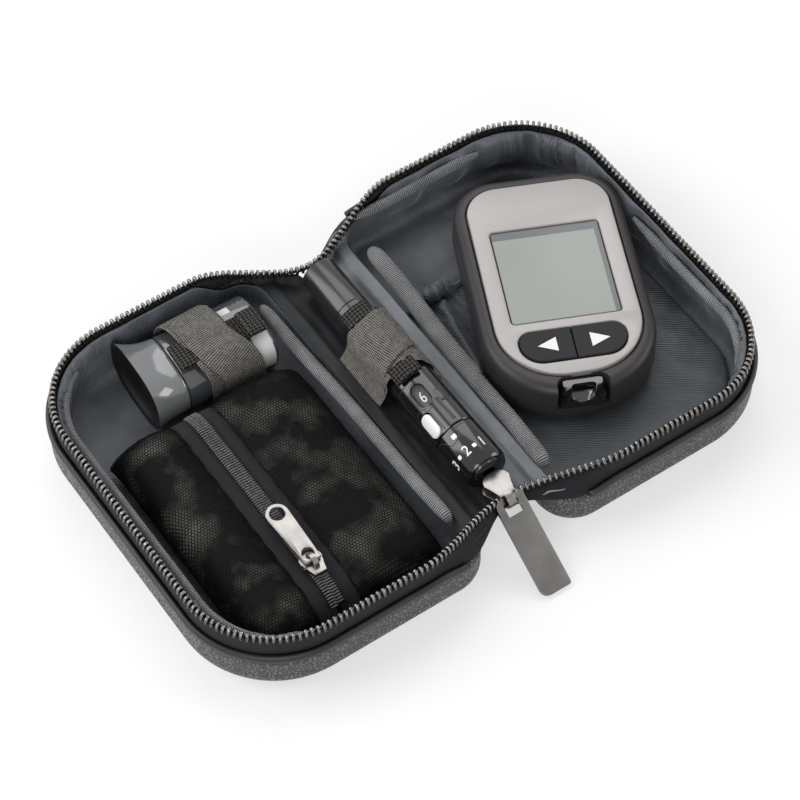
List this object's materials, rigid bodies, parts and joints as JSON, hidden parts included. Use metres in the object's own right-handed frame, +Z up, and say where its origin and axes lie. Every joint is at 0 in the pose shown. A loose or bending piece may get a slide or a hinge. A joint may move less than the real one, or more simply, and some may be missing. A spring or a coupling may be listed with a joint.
{
  "type": "zipped blood glucose meter case",
  "caption": "Zipped soft case, open flat on its spine, that carries a glucose meter, lancing pen and test strip vial, with a mesh pocket and a slip pocket.",
  "frame": {"origin": "on the table, in the middle of the open case's outer box", "axes": "+X across the spine to the tray with the meter, +Y along the spine to the end away from the zipper pull, +Z up"},
  "size_m": [0.181, 0.1312, 0.026],
  "materials": {
    "shell_leather": "fine pebble grain, satin black",
    "zipper_tape": "woven black tape",
    "zipper_teeth": "dark nickel teeth",
    "lining_nylon": "finely ribbed slate nylon",
    "spine_satin": "grey satin",
    "binding": "grosgrain ribbon",
    "net": "black mesh",
    "elastic": "coarse woven elastic",
    "webbing": "coarse black webbing",
    "slider_nickel": "bright nickel",
    "puller_gunmetal": "satin gunmetal",
    "vial_plastic": "glossy dark grey",
    "strip_paper": "pale film",
    "pen_plastic": "satin black with glossy rear",
    "white_plastic": "white",
    "meter_plastic": "dark warm grey, fine texture",
    "face_satin": "satin light grey face plate",
    "display_glass": "grey-green display",
    "button_rubber": "black rubber",
    "port_gloss": "piano black",
    "circuit_board": "green solder mask"
  },
  "bodies": {
    "left_tray": {"left_shell": "shell_leather", "left_welt": "shell_leather", "left_zipper_tape": "zipper_tape", "left_zipper_teeth": "zipper_teeth", "left_lining": "lining_nylon", "left_spine_seam": "binding", "left_near_gusset": "zipper_tape", "left_far_gusset": "zipper_tape", "left_side_binding": "binding", "pocket_net_left": "net", "pocket_net_right": "net", "pocket_tape_left": "zipper_tape", "pocket_tape_right": "zipper_tape", "pocket_coil_left": "net", "pocket_coil_right": "net", "vial_body": "vial_plastic", "test_strips": "strip_paper", "vial_tab": "webbing", "vial_strap": "elastic"},
    "spine": {"spine_strip": "shell_leather", "spine_lining": "spine_satin", "main_slider": "slider_nickel", "pen_barrel": "pen_plastic", "pen_window": "display_glass", "pen_strap": "elastic", "pen_tab": "webbing"},
    "right_tray": {"right_shell": "shell_leather", "right_welt": "shell_leather", "right_zipper_tape": "zipper_tape", "right_zipper_teeth": "zipper_teeth", "right_lining": "lining_nylon", "right_spine_seam": "binding", "right_near_gusset": "zipper_tape", "right_far_gusset": "zipper_tape", "right_near_binding": "binding", "right_far_binding": "binding", "slip_panel": "lining_nylon", "slip_hem": "lining_nylon", "hook_patch": "webbing"},
    "main_puller": {"main_puller": "puller_gunmetal"},
    "pocket_slider": {"pocket_slider": "slider_nickel"},
    "pocket_puller": {"pocket_puller": "slider_nickel"},
    "vial_lid": {"vial_lid": "vial_plastic"},
    "pen_dial": {"pen_dial_cap": "pen_plastic"},
    "pen_plunger": {"pen_plunger": "pen_plastic"},
    "pen_button": {"pen_release_button": "white_plastic"},
    "pen_drum": {"pen_drum": "pen_plastic"},
    "pen_lever": {"pen_lever": "pen_plastic"},
    "meter": {"meter_body": "meter_plastic", "meter_face": "face_satin", "meter_lens": "display_glass", "meter_display": "display_glass", "meter_board": "circuit_board", "meter_coin_cell": "slider_nickel", "meter_strip_port": "port_gloss"},
    "meter_button_left": {"meter_button_left": "button_rubber"},
    "meter_button_right": {"meter_button_right": "button_rubber"},
    "battery_door": {"meter_battery_door": "meter_plastic"}
  },
  "joints": [
    {"name": "spine_fold", "type": "hinge", "parent": "left_tray", "child": "spine", "pos_m": [-0.0104, 0.00631, 0.0125], "axis": [0, 1, 0], "range_deg": [-90, 0], "deforming": ["left_near_gusset", "left_far_gusset"]},
    {"name": "lid_fold", "type": "hinge", "parent": "spine", "child": "right_tray", "pos_m": [0.0104, 0.00631, 0.0125], "axis": [0, 1, 0], "range_deg": [-90, 0], "deforming": ["right_near_gusset", "right_far_gusset"]},
    {"name": "puller_hinge", "type": "hinge", "parent": "spine", "child": "main_puller", "pos_m": [0, -0.04194, 0.0156], "axis": [-1, 0, 0], "range_deg": [0, 115]},
    {"name": "pocket_zip", "type": "slide", "parent": "left_tray", "child": "pocket_slider", "axis": [0, 1, 0], "range_m": [0, 0.045]},
    {"name": "pocket_puller_hinge", "type": "hinge", "parent": "pocket_slider", "child": "pocket_puller", "pos_m": [-0.0546, -0.03149, 0.02055], "axis": [1, 0, 0], "range_deg": [0, 165]},
    {"name": "vial_lid_hinge", "type": "hinge", "parent": "left_tray", "child": "vial_lid", "pos_m": [-0.0504, 0.04642, 0.0193], "axis": [0.0349, 0.9994, 0], "range_deg": [0, 110]},
    {"name": "dial_turn", "type": "hinge", "parent": "spine", "child": "pen_dial", "pos_m": [0, 0.00631, 0.0172], "axis": [0, 1, 0], "range_deg": [0, 180]},
    {"name": "plunger_press", "type": "slide", "parent": "spine", "child": "pen_plunger", "axis": [0, -1, 0], "range_m": [0, 0.0045], "stiffness_N_per_m": 500},
    {"name": "release_press", "type": "slide", "parent": "spine", "child": "pen_button", "axis": [0.8829, 0, -0.4695], "range_m": [0, 0.0008], "stiffness_N_per_m": 500},
    {"name": "drum_turn", "type": "hinge", "parent": "spine", "child": "pen_drum", "pos_m": [0, 0.00631, 0.0172], "axis": [0, 1, 0], "range_deg": [0, 60]},
    {"name": "lever_slide", "type": "slide", "parent": "spine", "child": "pen_lever", "axis": [0, -1, 0], "range_m": [0, 0.004]},
    {"name": "meter_lift", "type": "slide", "parent": "right_tray", "child": "meter", "axis": [0, 0, 1], "range_m": [0, 0.03]},
    {"name": "left_button_press", "type": "slide", "parent": "meter", "child": "meter_button_left", "axis": [0, 0, -1], "range_m": [0, 0.0006], "stiffness_N_per_m": 600},
    {"name": "right_button_press", "type": "slide", "parent": "meter", "child": "meter_button_right", "axis": [0, 0, -1], "range_m": [0, 0.0006], "stiffness_N_per_m": 600},
    {"name": "door_slide", "type": "slide", "parent": "meter", "child": "battery_door", "axis": [-0.4147, -0.91, 0], "range_m": [0, 0.009]}
  ],
  "couplings": [
    {"joint": "lever_slide", "follows": "drum_turn", "m_per_rad": 0.0038}
  ]
}
